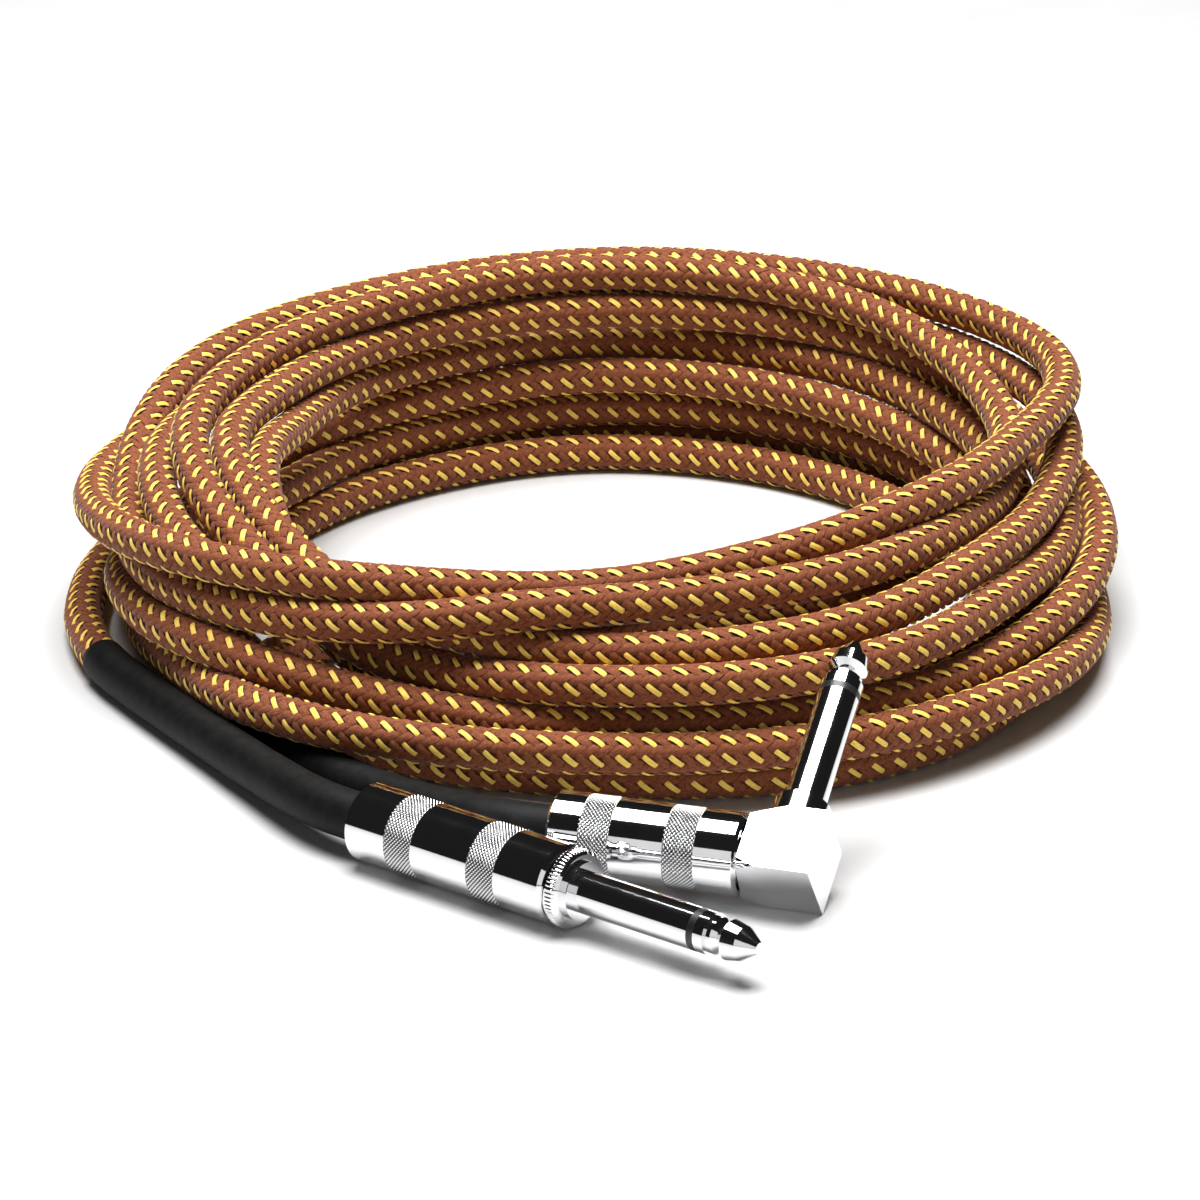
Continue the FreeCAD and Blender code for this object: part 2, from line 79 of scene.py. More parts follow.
# Each turn of the coil as it lies: how far out from the middle and how far up, in millimetres, at
# the front and then every 30 degrees round by the right, the back and the left.
STATION = 30
TURNS = [
    [None, None, (67.5, 3.3), (66, 3.3), (70, 3.3), (78, 3.3),
     (82, 3.3), (74, 3.3), (67, 3.3), (68.5, 5), (70, 10.5), (75, 3.5)],
    [(78.5, 3.3), (83, 3.3), (79, 3.3), (72.5, 4), (77, 8), (85, 10.5),
     (88, 10.5), (79.5, 9.5), (69.5, 9), (79.5, 11.5), (82, 13), (77.5, 12.5)],
    [(77, 12), (80, 11.5), (79.5, 12), (84, 14), (90, 17), (95, 19.5),
     (96, 20.5), (87, 24), (79, 25.5), (74.5, 27), (72, 22.5), (66, 23)],
    [(73.5, 23), (75, 23.5), (71, 24), (75.5, 23), (90, 25.5), (97, 27.5),
     (95.5, 28.5), (93, 25.5), (88, 20), (84.5, 22), (80.5, 26.5), (72, 28)],
    [(61, 27), (61, 31), (63, 33.5), (70, 32.5), (92, 32.5), (98, 34),
     (94, 35.5), (90, 33), (83, 30), (78, 21), (78, 19), (73, 21.5)],
    [(68, 25.5), (67.5, 27.5), (64.5, 27), (67.5, 25.5), (77.5, 28.5), (87, 34),
     (86, 36.5), (75.5, 36.5), (70.5, 35), (69.5, 33), (67.5, 26.5), (68.5, 16.5)],
    [(78.5, 18.5), (81, 19), (75, 18.5), (77.5, 16.5), (84, 21), (88, 27.5),
     (84.5, 29.5), (75, 30), (64.5, 30.5), (62.5, 31), (60, 24.5), (61, 17.5)],
    [(60.5, 19.5), (61.5, 22), (64.5, 19), (70, 17), (77, 18.5), (87, 21),
     (89.5, 21.5), (77, 22.5), (61, 24.5), (57, 27), (57, 18), (64, 10)],
    [(70, 8), (71, 8), (71.5, 10), (75, 10.5), (77, 13), (81.5, 17),
     (84, 17.8), (79, 16), (75, 13.5), (76.5, 6.5), (80.5, 8), (88.5, 10.5)],
    [(83.5, 9), (85.5, 8.5), (84.5, 7), (82.5, 3.6), (87, 3.4), (91, 3.3),
     (94, 3.3), (93, 3.3), (90, 3.3), (87, 3.3), None, None],
]
POINT_STEP = 10          # degrees between the coil's points
TURN_GAP = 6.5           # mm between the middles of two turns that touch
SLEEVE_GAP = 7.2         # mm between a turn and a sleeve that passes under it
SETTLE_STEPS = 300       # rounds of pushing apart
SETTLE_END = 60          # the last of them, which no longer ease the turns back to their places
EASE_BACK = 0.995        # what stays of a turn's shift after a round
SMOOTH = 0.5             # how much a round smooths the shifts along the cable
SMOOTH_AT_END = 0.1
ROUTE_SAMPLES = 40       # places looked at between two points of an uncoiled stretch
COIL_HOLE = 45           # mm from the middle, inside which there are no turns


def plug_frame(kind):
    """The middle of a barrel's rear face and the way the plug points, from its joint."""
    joints = frame["record"]["behaviour"]["joints"]
    joint = next(joint for joint in joints if joint["name"] == f"{kind}_unscrew")
    return Vector(joint["pos_m"]), -Vector(joint["axis"]).normalized()


def coil_stations():
    """The stations' angles, counted on from the front through all turns, and their places."""
    angles = []
    places = []
    for turn, row in enumerate(TURNS):
        for step, place in enumerate(row):
            if place is not None:
                angles.append(360 * turn + STATION * step)
                places.append(place)
    return np.array(angles, float), np.array(places, float)


def smooth_between(angles, places, wanted):
    """A smooth line through the stations, read at the wanted angles."""
    slopes = np.zeros_like(places)
    slopes[1:-1] = (places[2:] - places[:-2]) / 2
    slopes[0] = places[1] - places[0]
    slopes[-1] = places[-1] - places[-2]
    low = np.minimum(((wanted - angles[0]) // STATION).astype(int), len(angles) - 2)
    s = ((wanted - angles[low]) / STATION)[:, None]
    return ((2 * s**3 - 3 * s**2 + 1) * places[low] + (s**3 - 2 * s**2 + s) * slopes[low]
            + (3 * s**2 - 2 * s**3) * places[low + 1] + (s**3 - s**2) * slopes[low + 1])


def crossings(route):
    """Where an uncoiled stretch passes each of the coil's angles, as {column: (out, up)} in mm."""
    found = {}
    for start, end in zip(route, route[1:]):
        for share in np.linspace(0, 1, ROUTE_SAMPLES):
            point = (np.array(start) * (1 - share) + np.array(end) * share) / MM
            angle = (math.degrees(math.atan2(point[1], point[0])) + 90) % 360
            column = round(angle / POINT_STEP) % (360 // POINT_STEP)
            out = math.hypot(point[0], point[1])
            off = abs((angle - column * POINT_STEP + 180) % 360 - 180)
            if off < POINT_STEP / 4 and out > COIL_HOLE:
                found.setdefault(column, np.array([out, point[2]]))
    return found


def settle(wanted, places, sleeves):
    """Push turns that share a spot apart and keep them above the floor, close to their places."""
    moved = np.zeros_like(places)
    columns = np.round(wanted / POINT_STEP).astype(int) % (360 // POINT_STEP)
    groups = [np.where(columns == column)[0] for column in range(360 // POINT_STEP)]
    for step in range(SETTLE_STEPS):
        settling = step < SETTLE_STEPS - SETTLE_END
        now = places + moved
        push = np.zeros_like(places)
        touching = np.zeros(len(places))
        for column, group in enumerate(groups):
            here = now[group]
            apart = here[:, None] - here[None]
            distance = np.hypot(apart[..., 0], apart[..., 1])
            np.fill_diagonal(distance, 2 * TURN_GAP)
            overlap = np.maximum(0, TURN_GAP - distance)
            push[group] += 0.5 * ((overlap / distance)[..., None] * apart).sum(1)
            touching[group] += (overlap > 0).sum(1)
            for sleeve in sleeves:
                if column in sleeve:
                    apart = here - sleeve[column]
                    distance = np.hypot(apart[:, 0], apart[:, 1])
                    overlap = np.maximum(0, SLEEVE_GAP - distance)
                    push[group] += (overlap / distance)[:, None] * apart
                    touching[group] += overlap > 0
        moved += push / np.maximum(1, touching * 0.5)[:, None]
        smoothed = moved.copy()
        smoothed[1:-1] = (moved[:-2] + 2 * moved[1:-1] + moved[2:]) / 4
        blend = SMOOTH if settling else SMOOTH_AT_END
        moved = moved * (1 - blend) + smoothed * blend
        if settling:
            moved *= EASE_BACK
        moved[:, 1] += np.maximum(0, FLOOR_HEIGHT - places[:, 1] - moved[:, 1])
    return places + moved


def coil_points():
    """The coil's turns as points in metres."""
    angles, places = coil_stations()
    wanted = np.arange(angles[0], angles[-1] + 1, POINT_STEP)
    sleeves = [crossings(STRAIGHT_ROUTE[:4]), crossings(ANGLE_ROUTE[:6]),
               crossings(ANGLE_ROUTE[7:])]
    lying = settle(wanted, smooth_between(angles, places, wanted), sleeves)
    turn = np.radians(wanted - 90)
    return [(out * math.cos(a) * MM, out * math.sin(a) * MM, up * MM)
            for a, (out, up) in zip(turn, lying)]


def cable_line():
    """The whole cable as one smooth NURBS line, from the right-angle plug to the straight one."""
    angle_rear, angle_way = plug_frame("angle")
    straight_rear, straight_way = plug_frame("straight")
    points = [tuple(angle_rear + angle_way * JACKET_END), tuple(angle_rear),
              tuple(angle_rear - angle_way * STRAIGHT_OUT)]
    points += ANGLE_ROUTE
    points += coil_points()
    points += STRAIGHT_ROUTE[::-1]
    points += [tuple(straight_rear - straight_way * STRAIGHT_OUT), tuple(straight_rear),
               tuple(straight_rear + straight_way * JACKET_END)]
    data = bpy.data.curves.new("cable", "CURVE")
    data.dimensions = "3D"
    data.resolution_u = 8
    spline = data.splines.new("NURBS")
    spline.points.add(len(points) - 1)
    for point, place in zip(spline.points, points):
        point.co = (*place, 1.0)
    spline.order_u = 3
    spline.use_endpoint_u = True
    cable = bpy.data.objects.new("cable", data)
    bpy.context.collection.objects.link(cable)
    return cable


class Line:
    """Points read along the cable's line, with a frame that doesn't twist."""

    def __init__(self, cable):
        bpy.context.view_layer.update()
        mesh = bpy.data.meshes.new_from_object(cable)
        flat = np.empty(3 * len(mesh.vertices))
        mesh.vertices.foreach_get("co", flat)
        bpy.data.meshes.remove(mesh)
        self.points = flat.reshape(-1, 3)
        steps = np.linalg.norm(np.diff(self.points, axis=0), axis=1)
        self.along = np.concatenate([[0.0], np.cumsum(steps)])
        self.length = self.along[-1]
        tangents = np.gradient(self.points, self.along, axis=0)
        self.tangents = tangents / np.linalg.norm(tangents, axis=1)[:, None]
        normals = np.empty_like(self.points)
        normal = np.array([0.0, 0.0, 1.0])
        for index, tangent in enumerate(self.tangents):
            normal = normal - tangent * normal.dot(tangent)
            normal = normal / np.linalg.norm(normal)
            normals[index] = normal
        self.normals = normals

    def place(self, along, angle, radius):
        """Places at distances along the line, angles round it and distances from it."""
        def read(table):
            return np.stack([np.interp(along, self.along, table[:, k]) for k in range(3)], -1)
        centre = read(self.points)
        tangent = read(self.tangents)
        normal = read(self.normals)
        side = np.cross(tangent, normal)
        return centre + radius[..., None] * (np.cos(angle)[..., None] * normal
                                             + np.sin(angle)[..., None] * side)


# ---------------------------------------------------------------- mesh helpers


def mesh_object(name, vertices, quads, material, body=CABLE_BODY, uvs=None):
    """A smooth quad mesh that rides on a body."""
    mesh = bpy.data.meshes.new(name)
    mesh.vertices.add(len(vertices))
    mesh.vertices.foreach_set("co", np.asarray(vertices, np.float32).ravel())
    mesh.loops.add(quads.size)
    mesh.loops.foreach_set("vertex_index", quads.astype(np.int32).ravel())
    mesh.polygons.add(len(quads))
    mesh.polygons.foreach_set("loop_start", np.arange(0, quads.size, 4, dtype=np.int32))
    mesh.polygons.foreach_set("use_smooth", np.ones(len(quads), bool))
    mesh.update(calc_edges=True)
    if uvs is not None:
        layer = mesh.uv_layers.new(name="pattern")
        layer.data.foreach_set("uv", uvs[quads.ravel()].astype(np.float32).ravel())
    mesh.materials.append(material)
    piece = bpy.data.objects.new(name, mesh)
    bpy.context.collection.objects.link(piece)
    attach(piece, body)
    return piece


def grid_quads(rows, columns, closed):
    """Quads of a rows by columns grid of vertices, closed round its columns or open."""
    r, c = np.meshgrid(np.arange(rows - 1), np.arange(columns if closed else columns - 1),
                       indexing="ij")
    n = (c + 1) % columns
    near, far = r * columns, (r + 1) * columns
    return np.stack([near + c, near + n, far + n, far + c], -1).reshape(-1, 4)


# ---------------------------------------------------------------- materials


def node_material(name):
    """A material with its principled shader and its nodes."""
    material = bpy.data.materials.new(name)
    material.use_nodes = True
    nodes = material.node_tree.nodes
    return material, nodes, material.node_tree.links, nodes["Principled BSDF"]


def add_noise(nodes, links, source, scale, detail, stretch=(1, 1, 1)):
    """Noise over a source of coordinates, stretched."""
    mapping = nodes.new("ShaderNodeMapping")
    mapping.inputs["Scale"].default_value = stretch
    links.new(source, mapping.inputs["Vector"])
    noise = nodes.new("ShaderNodeTexNoise")
    noise.inputs["Scale"].default_value = scale
    noise.inputs["Detail"].default_value = detail
    links.new(mapping.outputs["Vector"], noise.inputs["Vector"])
    return noise.outputs["Fac"]


def add_ramp(nodes, links, value, stops):
    """A colour ramp over a value."""
    ramp = nodes.new("ShaderNodeValToRGB")
    elements = ramp.color_ramp.elements
    while len(elements) < len(stops):
        elements.new(0.5)
    for element, (position, colour) in zip(elements, stops):
        element.position = position
        element.color = (*colour, 1.0)
    links.new(value, ramp.inputs["Fac"])
    return ramp.outputs["Color"]


def add_bump(nodes, links, shader, height, strength, distance):
    """A bump on a shader."""
    bump = nodes.new("ShaderNodeBump")
    bump.inputs["Strength"].default_value = strength
    bump.inputs["Distance"].default_value = distance
    links.new(height, bump.inputs["Height"])
    links.new(bump.outputs["Normal"], shader.inputs["Normal"])


def yarn_material(name, dark, middle, light, roughness, sheen):
    """Braided yarn: fine filaments along each yarn, mixed with a soft fuzz."""
    material, nodes, links, shader = node_material(name)
    spot = nodes.new("ShaderNodeUVMap")
    spot.uv_map = "pattern"
    filaments = add_noise(nodes, links, spot.outputs["UV"], 1.0, 4.0, (1.3, 11.0, 1.0))
    fuzz = add_noise(nodes, links, spot.outputs["UV"], 9.0, 3.0)
    mix = nodes.new("ShaderNodeMix")
    mix.inputs["Factor"].default_value = 0.45
    links.new(filaments, mix.inputs["A"])
    links.new(fuzz, mix.inputs["B"])
    height = mix.outputs["Result"]
    colour = add_ramp(nodes, links, height, [(0.36, dark), (0.50, middle), (0.64, light)])
    links.new(colour, shader.inputs["Base Color"])
    shader.inputs["Roughness"].default_value = roughness
    shader.inputs["Sheen Weight"].default_value = sheen
    shader.inputs["Sheen Roughness"].default_value = 0.4
    shader.inputs["Specular IOR Level"].default_value = 0.3
    add_bump(nodes, links, shader, height, 0.7, 0.00015)
    return material


def core_material():
    """Painted shade in the gaps between the yarns: the core under the floats is coloured a dark,
    mottled brown.
    """
    material, nodes, links, shader = node_material("braid_gaps_painted_shade")
    coordinates = nodes.new("ShaderNodeTexCoord")
    blotches = add_noise(nodes, links, coordinates.outputs["Object"], 900.0, 2.0)
    # These dark browns are painted shade for the gaps between the floats, not the yarn's own
    # colour.
    colour = add_ramp(nodes, links, blotches,
                      [(0.35, (0.050, 0.011, 0.005)), (0.65, (0.13, 0.030, 0.013))])
    links.new(colour, shader.inputs["Base Color"])
    shader.inputs["Roughness"].default_value = 0.9
    return material


def chrome_material(name, tint, roughness):
    """Polished plating with a faint grain and handling haze."""
    material, nodes, links, shader = node_material(name)
    coordinates = nodes.new("ShaderNodeTexCoord")
    haze = add_noise(nodes, links, coordinates.outputs["Object"], 260.0, 4.0)
    amount = nodes.new("ShaderNodeMapRange")
    amount.inputs["To Min"].default_value = roughness * 0.6
    amount.inputs["To Max"].default_value = roughness * 1.6
    links.new(haze, amount.inputs["Value"])
    links.new(amount.outputs["Result"], shader.inputs["Roughness"])
    colour = add_ramp(nodes, links, haze, [(0.3, tuple(0.94 * t for t in tint)), (0.7, tint)])
    links.new(colour, shader.inputs["Base Color"])
    shader.inputs["Metallic"].default_value = 1.0
    marks = add_noise(nodes, links, coordinates.outputs["Object"], 900.0, 2.0)
    add_bump(nodes, links, shader, marks, 0.03, 0.00005)
    return material


def knurl_material():
    """Polished plating with painted shade in the grooves between the knurling's points: the colour
    darkens where the knurling is low.
    """
    material, nodes, links, shader = node_material("knurled_chrome")
    spot = nodes.new("ShaderNodeUVMap")
    spot.uv_map = "pattern"
    height = nodes.new("ShaderNodeSeparateXYZ")
    links.new(spot.outputs["UV"], height.inputs["Vector"])
    # Painted shade: near-black plating in the grooves, bright plating on the points, read from each
    # point's height.
    colour = add_ramp(nodes, links, height.outputs["X"],
                      [(0.25, (0.015, 0.015, 0.016)), (0.75, (0.88, 0.88, 0.89))])
    links.new(colour, shader.inputs["Base Color"])
    coordinates = nodes.new("ShaderNodeTexCoord")
    haze = add_noise(nodes, links, coordinates.outputs["Object"], 260.0, 4.0)
    add_bump(nodes, links, shader, haze, 0.05, 0.00005)
    shader.inputs["Metallic"].default_value = 1.0
    shader.inputs["Roughness"].default_value = 0.16
    return material


def plain_material(name, dark, light, roughness, scale, bump, metallic=0.0, specular=0.5):
    """A matte or satin material with mottled colour and a fine grain."""
    material, nodes, links, shader = node_material(name)
    coordinates = nodes.new("ShaderNodeTexCoord")
    mottle = add_noise(nodes, links, coordinates.outputs["Object"], scale, 4.0)
    colour = add_ramp(nodes, links, mottle, [(0.35, dark), (0.65, light)])
    links.new(colour, shader.inputs["Base Color"])
    shader.inputs["Roughness"].default_value = roughness
    shader.inputs["Metallic"].default_value = metallic
    shader.inputs["Specular IOR Level"].default_value = specular
    grain = add_noise(nodes, links, coordinates.outputs["Object"], scale * 6, 3.0)
    add_bump(nodes, links, shader, grain, bump, 0.0001)
    return material


# ---------------------------------------------------------------- braid

BRAID_PITCH = 3.98 * MM      # one repeat of the pattern along the cable
PITCHES_PER_TURN = 6         # repeats in which a yarn goes once round the cable
YARNS = 12                   # yarns each way round
CORE_RADIUS = 2.95 * MM
BRAID_RADIUS = 3.25 * MM     # where the yarns' widths and slant are measured
YARN_TOP = 3.32 * MM
GOLD_LIFT = 0.06 * MM        # how far the gold yarns stand above the brown ones
YARN_TURN = 2 * math.pi / PITCHES_PER_TURN / BRAID_PITCH
YARN_TILT = math.atan(YARN_TURN * BRAID_RADIUS)

# A float is a stretch of yarn that lies on top. These are its half length and half width, the
# shares of the half length that get points, how far it falls to its sides and dips at its ends, and
# how slanted its ends are.
GOLD_FLOAT = (1.50 * MM, 0.42 * MM)
BROWN_FLOAT = (1.42 * MM, 0.62 * MM)
FLOAT_ALONG = np.array([-1.0, -0.7, 0.0, 0.7, 1.0])
FLOAT_CROWN = 0.14 * MM
FLOAT_DIP = 0.30 * MM
END_SKEW = 0.55
END_FROM = 0.6               # share of the half length beyond which the slant applies

# How much the floats differ: places and heights in metres, lengths and widths as shares.
PLACE_SPREAD = 0.04 * MM
LENGTH_SPREAD = 0.04
WIDTH_SPREAD = 0.05
HEIGHT_SPREAD = 0.015 * MM

# How much of the yarn's texture a float shows along and across it, and how far apart two floats
# may look into that texture.
TEXTURE_ALONG = 1.5
TEXTURE_ACROSS = 0.5
TEXTURE_RANGE = 90

# The share of a repeat at which even and odd yarns come to the top, each way round, and the most
# floats that one piece holds.
WITH_PHASE = (0.125, 0.625)
AGAINST_PHASE = (0.375, 0.875)
GOLD_PER_PIECE = 12000
BROWN_PER_PIECE = 8000


def braid_floats(name, line, way, yarns, phase, half_size, across, top, material, per_piece):
    """The stretches where one family of yarns lies on top, as small raised strips."""
    half_length, half_width = half_size
    start = 0.5 * BRAID_PITCH
    repeats = int((line.length - 2 * start) / BRAID_PITCH)
    repeat, yarn = np.meshgrid(np.arange(repeats), np.array(yarns), indexing="ij")
    centre = (start + (repeat + np.take(phase, yarn % 2)) * BRAID_PITCH).ravel()
    angle = (2 * math.pi * yarn.ravel() / YARNS) + way * YARN_TURN * centre
    rng = np.random.default_rng(len(name))
    centre = centre + rng.normal(0, PLACE_SPREAD, centre.size)
    u, v = np.meshgrid(FLOAT_ALONG, np.linspace(-1, 1, across), indexing="ij")
    u = u.ravel()[None]
    v = v.ravel()[None]
    reach = half_length * (1 + rng.normal(0, LENGTH_SPREAD, centre.size))[:, None] * u
    width = half_width * (1 + rng.normal(0, WIDTH_SPREAD, centre.size))[:, None] * v
    reach = reach + END_SKEW * width * (np.abs(u) > END_FROM)
    along = centre[:, None] + reach * math.cos(YARN_TILT) - way * width * math.sin(YARN_TILT)
    round_by = way * reach * math.sin(YARN_TILT) + width * math.cos(YARN_TILT)
    radius = top - FLOAT_CROWN * v**2 - FLOAT_DIP * np.abs(u)**4
    radius = radius + rng.normal(0, HEIGHT_SPREAD, centre.size)[:, None]
    vertices = line.place(along, angle[:, None] + round_by / BRAID_RADIUS, radius)
    quads = grid_quads(FLOAT_ALONG.size, across, False)[:, ::-way]
    uvs = np.stack([u * TEXTURE_ALONG + rng.uniform(0, TEXTURE_RANGE, centre.size)[:, None],
                    v * TEXTURE_ACROSS + rng.uniform(0, TEXTURE_RANGE, centre.size)[:, None]], -1)
    pieces = []
    for first in range(0, centre.size, per_piece):
        count = min(per_piece, centre.size - first)
        faces = (quads[None] + u.size * np.arange(count)[:, None, None]).reshape(-1, 4)
        part = slice(first, first + count)
        label = f"{name}_{len(pieces) + 1}"
        pieces.append(mesh_object(label, vertices[part].reshape(-1, 3), faces, material,
                                  uvs=uvs[part].reshape(-1, 2)))
    return pieces


def braid(line):
    """A braid of brown yarns over two and under two, with every other one the first way gold."""
    brown = yarn_material("braid_brown", (0.060, 0.012, 0.004), (0.20, 0.050, 0.015),
                          (0.38, 0.125, 0.045), 0.8, 0.15)
    gold = yarn_material("braid_gold", (0.74, 0.38, 0.035), (0.97, 0.64, 0.09), (1.0, 0.84, 0.30),
                         0.4, 0.1)
    floats = braid_floats("braid_gold_with", line, 1, range(0, YARNS, 2), WITH_PHASE, GOLD_FLOAT,
                          3, YARN_TOP + GOLD_LIFT, gold, GOLD_PER_PIECE)
    floats += braid_floats("braid_brown_with", line, 1, range(1, YARNS, 2), WITH_PHASE, BROWN_FLOAT,
                           4, YARN_TOP, brown, BROWN_PER_PIECE)
    floats += braid_floats("braid_brown_against", line, -1, range(YARNS), AGAINST_PHASE,
                           BROWN_FLOAT, 4, YARN_TOP, brown, BROWN_PER_PIECE)
    return floats


# ---------------------------------------------------------------- sleeves

SLEEVE_STEPS = 90
SLEEVE_SIDES = 40
SLEEVE_SWELL = 0.08 * MM     # how much wider than its radius a sleeve starts
SLEEVE_TAPER = 0.18 * MM     # how much it narrows to its far end
SLEEVE_LIP = 0.05 * MM
SLEEVE_RIPPLE = 0.02 * MM
SLEEVE_WEAVE = 0.012 * MM    # how far the braid shows through it


def sleeve(kind, line, from_start, material):
    """The long heat-shrink sleeve: slightly tapered, with the braid showing faintly through it."""
    near = JACKET_END - SLEEVE_INSIDE
    far = JACKET_END + SLEEVE_LENGTH
    steps = np.concatenate([np.linspace(near, far, SLEEVE_STEPS), [far + SLEEVE_LIP]])
    along = steps if from_start else line.length - steps
    angle = np.linspace(0, 2 * math.pi, SLEEVE_SIDES, endpoint=False)
    way = 1 if from_start else -1
    share = (steps - near) / (far - near)
    radius = SLEEVE_RADIUS + SLEEVE_SWELL - SLEEVE_TAPER * share
    ripple = (SLEEVE_RIPPLE * np.sin(share[:, None] * 46)
              * np.sin(2 * angle[None] + share[:, None] * 9))
    weave = SLEEVE_WEAVE * np.sin(8 * angle[None] + steps[:, None] * 2 * math.pi / BRAID_PITCH)
    radius = radius[:, None] + ripple + weave
    radius[-1] = CABLE_DIAMETER / 2 - 0.1 * MM
    spread = np.broadcast_to(along[:, None], radius.shape)
    vertices = line.place(spread, np.broadcast_to(angle[None], radius.shape), radius)
    quads = grid_quads(len(steps), SLEEVE_SIDES, True)[:, ::way]
    piece = mesh_object(f"{kind}_shrink_sleeve", vertices.reshape(-1, 3), quads, material)
    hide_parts(f"{kind}_strain_relief")
    return piece


# ---------------------------------------------------------------- knurling

KNURL_TEETH = 54             # round the barrel
KNURL_DEPTH = 0.26 * MM
KNURL_PROUD = 0.05 * MM      # how far the tops stand out from the barrel
KNURL_CROWN = 1.6            # above 1, the tops are flat
KNURL_SLANT = 1.15           # the tangent of the cuts' slant
KNURL_STEP = 0.075 * MM      # between rows of vertices
KNURL_ACROSS = 324           # vertices in a row

# Each barrel's radius and its two knurled bands' starts and widths, in millimetres.
KNURLED_BARRELS = {
    "straight": (6.0, ((8.1, 5.2), (24.1, 5.2))),
    "angle": (6.2, ((5.05, 4.8), (18.1, 4.8))),
}

# The straight plug's toothed flange: places along the barrel, radii and tooth depths, in
# millimetres, and the height of one tooth over its points.
FLANGE_PROFILE = [
    (38.85, 5.3, 0), (38.9, 5.9, 0.05), (39.3, 6.05, 0.2), (40.2, 6.05, 0.2), (40.6, 5.75, 0.05),
]
FLANGE_TEETH = 60
TOOTH_SHAPE = np.array([0.0, 0.5, 1.0, 1.0, 0.5, 0.0])


def turned_places(kind, along, angle, radius):
    """Places round a plug's barrel."""
    rear, way = plug_frame(kind)
    up = Vector((0, 0, 1))
    side = way.cross(up)
    centre = np.array(rear) + along[..., None] * np.array(way)
    return centre + radius[..., None] * (np.cos(angle)[..., None] * np.array(up)
                                         + np.sin(angle)[..., None] * np.array(side))


def knurled_band(kind, number, start, width, barrel_radius, material):
    """A band of crossed knurling as small flat-topped pyramids."""
    rows = int(width / KNURL_STEP)
    along = np.linspace(0, width, rows)
    angle = np.linspace(0, 2 * math.pi, KNURL_ACROSS, endpoint=False)
    slant = along[:, None] / barrel_radius * KNURL_SLANT
    one = np.abs(((angle[None] + slant) * KNURL_TEETH / (2 * math.pi)) % 1 - 0.5) * 2
    two = np.abs(((angle[None] - slant) * KNURL_TEETH / (2 * math.pi)) % 1 - 0.5) * 2
    height = np.minimum(1, KNURL_CROWN * np.minimum(one, two))
    radius = barrel_radius + KNURL_PROUD - KNURL_DEPTH * (1 - height)
    radius[0] = barrel_radius - KNURL_DEPTH
    radius[-1] = barrel_radius - KNURL_DEPTH
    # Each point's height goes into the first UV value, which the knurl material turns into painted
    # shade in the grooves.
    shade = np.stack([height, np.zeros_like(height)], -1)
    spread = start + np.broadcast_to(along[:, None], radius.shape)
    vertices = turned_places(kind, spread, np.broadcast_to(angle[None], radius.shape), radius)
    return mesh_object(f"{kind}_knurling_{number}", vertices.reshape(-1, 3),
                       grid_quads(rows, KNURL_ACROSS, True)[:, ::-1], material,
                       f"{kind}_barrel_body", uvs=shade.reshape(-1, 2))


def flange_teeth(material):
    """Fine serrations round the straight plug's flange."""
    angle = np.linspace(0, 2 * math.pi, FLANGE_TEETH * TOOTH_SHAPE.size, endpoint=False)
    tooth = np.tile(TOOTH_SHAPE, FLANGE_TEETH)
    along, outer, depth = (np.array(column)[:, None] * MM for column in zip(*FLANGE_PROFILE))
    radius = outer - depth * (1 - tooth[None])
    vertices = turned_places("straight", np.broadcast_to(along, radius.shape),
                             np.broadcast_to(angle[None], radius.shape), radius)
    return mesh_object("straight_flange_teeth", vertices.reshape(-1, 3),
                       grid_quads(len(FLANGE_PROFILE), angle.size, True)[:, ::-1], material)


# ---------------------------------------------------------------- stage

LENS = 148.5                 # on a sensor 36 mm wide
CAMERA_PLACE = (0, -0.7837, 0.2892)
CAMERA_TARGET = (0, 0, 0.004)
TABLE_REACH = 4.0            # from the middle to each edge
ROOM_GLOW = 0.012


def aim(thing, target):
    """Point a camera or a light at a place."""
    thing.rotation_euler = (Vector(target) - thing.location).to_track_quat("-Z", "Y").to_euler()


def add_camera():
    """A long lens at twenty degrees above the table."""
    camera = bpy.data.objects.new("camera", bpy.data.cameras.new("camera"))
    camera.data.lens = LENS
    camera.data.sensor_width = 36
    camera.location = CAMERA_PLACE
    bpy.context.collection.objects.link(camera)
    aim(camera, CAMERA_TARGET)
    bpy.context.scene.camera = camera


def add_area(name, location, target, size, power):
    """A soft rectangular light."""
    data = bpy.data.lights.new(name, "AREA")
    data.shape = "RECTANGLE"
    data.size, data.size_y = size
    data.energy = power
    light = bpy.data.objects.new(name, data)
    light.location = location
    bpy.context.collection.objects.link(light)
    aim(light, target)


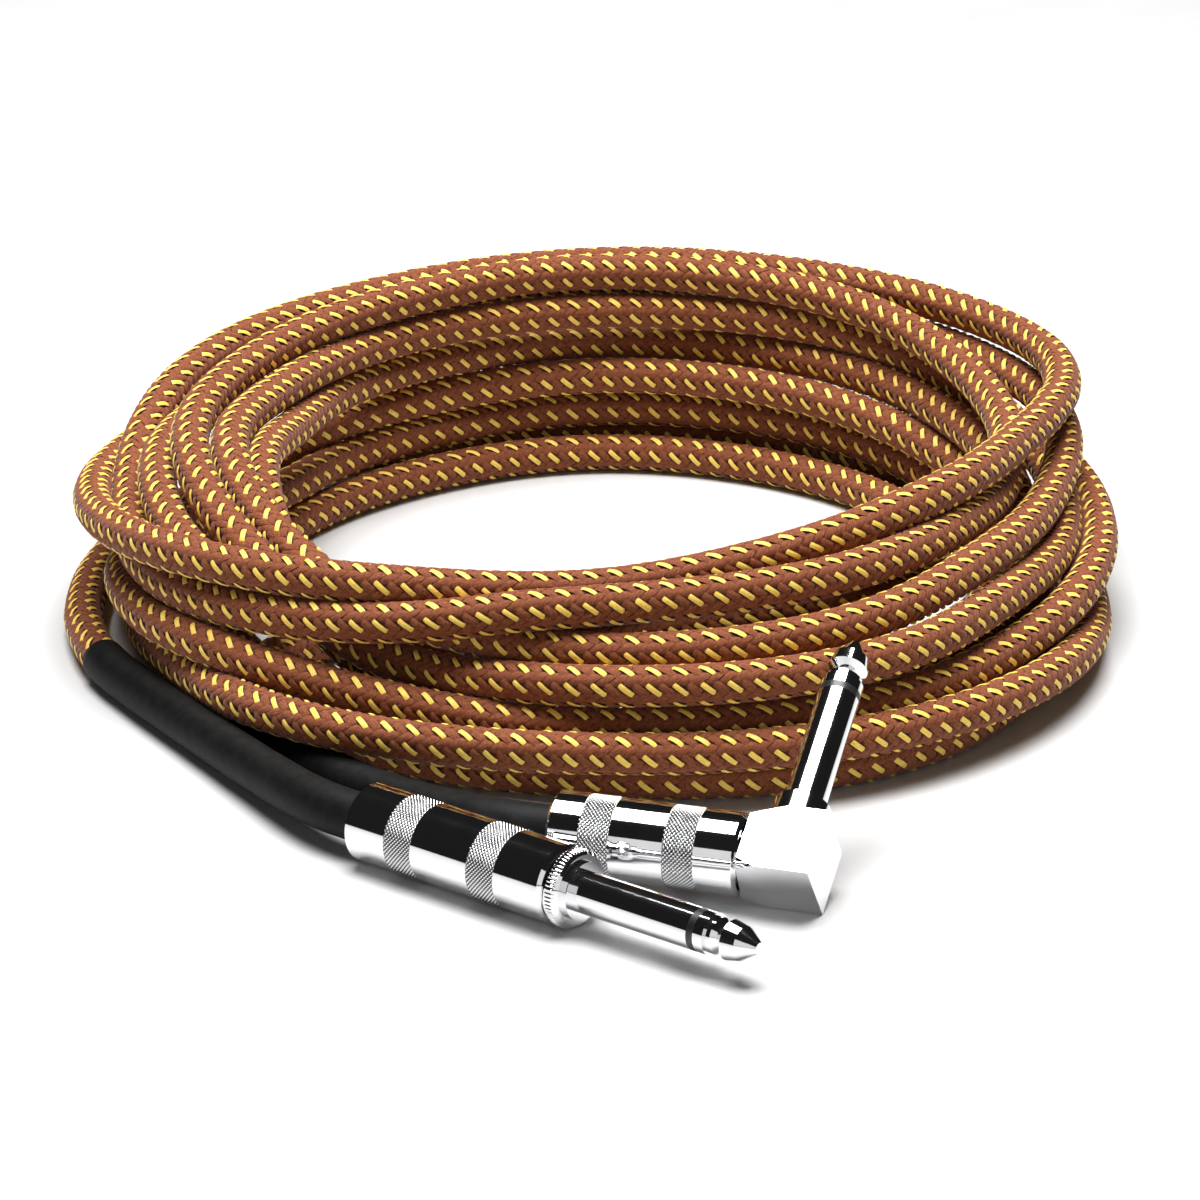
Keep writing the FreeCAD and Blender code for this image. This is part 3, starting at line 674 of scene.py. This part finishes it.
def add_stage():
    """A pale table, soft boxes and a dim room that the chrome can reflect."""
    material, nodes, links, shader = node_material("table")
    coordinates = nodes.new("ShaderNodeTexCoord")
    patches = add_noise(nodes, links, coordinates.outputs["Object"], 30.0, 3.0)
    colour = add_ramp(nodes, links, patches, [(0.3, (0.60, 0.60, 0.60)), (0.7, (0.63, 0.63, 0.63))])
    links.new(colour, shader.inputs["Base Color"])
    shader.inputs["Roughness"].default_value = 0.35
    shader.inputs["Specular IOR Level"].default_value = 0.2
    ways = ((-1, -1), (1, -1), (1, 1), (-1, 1))
    corners = [(TABLE_REACH * x, TABLE_REACH * y, 0) for x, y in ways]
    mesh = bpy.data.meshes.new("table")
    mesh.from_pydata(corners, [], [(0, 1, 2, 3)])
    mesh.materials.append(material)
    table = bpy.data.objects.new("table", mesh)
    bpy.context.collection.objects.link(table)
    world = bpy.data.worlds.new("room")
    world.use_nodes = True
    world.node_tree.nodes["Background"].inputs["Color"].default_value = (1, 1, 1, 1)
    world.node_tree.nodes["Background"].inputs["Strength"].default_value = ROOM_GLOW
    bpy.context.scene.world = world
    bpy.context.scene.view_settings.view_transform = "Standard"
    add_area("overhead", location=(-0.02, 0.10, 1.0), target=(-0.02, 0.10, 0), size=(0.80, 0.70),
             power=27)
    add_area("front", location=(-0.1, -1.15, 0.34), target=(-0.1, 0, 0.34), size=(2.0, 0.62),
             power=3)


# ---------------------------------------------------------------- build

# The plain finishes: dark and light colour, roughness, scale of the mottling, bump and metallic.
PLAIN_FINISHES = {
    "black_insulator": ((0.008, 0.008, 0.008), (0.02, 0.02, 0.02), 0.35, 700, 0.2),
    "clear_liner": ((0.6, 0.6, 0.57), (0.72, 0.72, 0.69), 0.4, 300, 0.1),
    "brass_terminal": ((0.62, 0.44, 0.18), (0.75, 0.56, 0.26), 0.3, 400, 0.2, 1.0),
    "core_insulation": ((0.78, 0.78, 0.75), (0.85, 0.85, 0.82), 0.5, 300, 0.1),
    "copper": ((0.60, 0.27, 0.14), (0.74, 0.38, 0.22), 0.3, 900, 0.4, 1.0),
    "solder": ((0.50, 0.50, 0.52), (0.62, 0.62, 0.64), 0.35, 600, 0.3, 1.0),
}


def dress_nodes(materials):
    """Give every CAD node that stays its own finish."""
    chosen = {item["node"]: item["material_slot"] for item in frame["record"]["subparts"]}
    for node, slot in chosen.items():
        thing = bpy.data.objects.get(node)
        if thing is None or slot not in materials:
            continue
        if not thing.material_slots:
            thing.data.materials.append(None)
        for place in thing.material_slots:
            place.link = "OBJECT"
            place.material = materials[slot]


def main():
    """The cable with its braid and sleeves, then the plugs, then the stage."""
    add_camera()
    cable = cable_line()
    line = Line(cable)
    cable.data.bevel_depth = CORE_RADIUS
    cable.data.bevel_resolution = 4
    cable.data.materials.append(core_material())
    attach(cable, CABLE_BODY)
    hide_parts("cable_coil", "straight_cable_lead", "angle_cable_lead")
    knurled = knurl_material()
    chrome = chrome_material("chrome_shell", (0.90, 0.90, 0.91), 0.05)
    shrink = plain_material("shrink_sleeve", (0.002, 0.002, 0.002), (0.006, 0.006, 0.006),
                            0.6, 500, 0.3, specular=0.15)
    on_cable = braid(line)
    on_cable += [sleeve("angle", line, True, shrink), sleeve("straight", line, False, shrink)]
    finishes = {"chrome_shell": chrome,
                "chrome_shaft": chrome_material("chrome_shaft", (0.86, 0.86, 0.87), 0.07)}
    for slot, finish in PLAIN_FINISHES.items():
        finishes[slot] = plain_material(slot, *finish)
    dress_nodes(finishes)
    for kind, (radius, bands) in KNURLED_BARRELS.items():
        for number, (start, width) in enumerate(bands, start=1):
            knurled_band(kind, number, start * MM, width * MM, radius * MM, knurled)
    flange_teeth(chrome)
    add_stage()
    print(f"cable length {line.length:.3f} m")


main()
